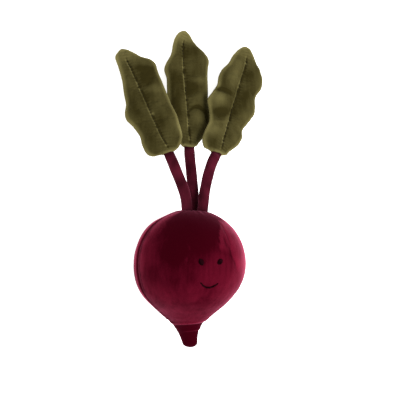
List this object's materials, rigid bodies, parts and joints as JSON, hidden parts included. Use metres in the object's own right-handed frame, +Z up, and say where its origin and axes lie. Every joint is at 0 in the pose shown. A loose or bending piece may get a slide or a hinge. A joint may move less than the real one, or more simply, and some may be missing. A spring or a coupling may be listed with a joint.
{
  "type": "beetroot soft toy",
  "caption": "Plush beetroot toy lying on its back: a round velour bulb with a root tail and a stitched smile, slim stuffed stems and padded leaves with wavy edges.",
  "frame": {"origin": "centre of the flat spot under the bulb, on the surface that the toy lies on", "axes": "+Z up, the way the face looks; +Y along the toy from the root tail to the leaf tips; +X to its right"},
  "size_m": [0.1351, 0.2652, 0.0913],
  "materials": {
    "bulb_velour": "short-pile burgundy velour",
    "stem_velour": "short-pile dark burgundy velour",
    "leaf_velour": "short-pile olive velour",
    "filling": "matt polyester fibre",
    "thread": "twisted olive sewing thread",
    "embroidery": "satin-stitch thread, near black"
  },
  "bodies": {
    "root": {"bulb_front_panel": "bulb_velour", "bulb_back_panel": "bulb_velour", "bulb_filling": "filling", "eye_left": "embroidery", "eye_right": "embroidery", "smile": "embroidery", "stem_left_cover": "stem_velour", "stem_left_filling": "filling", "leaf_left_front_panel": "leaf_velour", "leaf_left_back_panel": "leaf_velour", "leaf_left_filling": "filling", "leaf_left_front_stitching": "thread", "leaf_left_back_stitching": "thread", "stem_middle_cover": "stem_velour", "stem_middle_filling": "filling", "leaf_middle_front_panel": "leaf_velour", "leaf_middle_back_panel": "leaf_velour", "leaf_middle_filling": "filling", "leaf_middle_front_stitching": "thread", "leaf_middle_back_stitching": "thread", "stem_right_cover": "stem_velour", "stem_right_filling": "filling", "leaf_right_front_panel": "leaf_velour", "leaf_right_back_panel": "leaf_velour", "leaf_right_filling": "filling", "leaf_right_front_stitching": "thread", "leaf_right_back_stitching": "thread"}
  },
  "joints": []
}
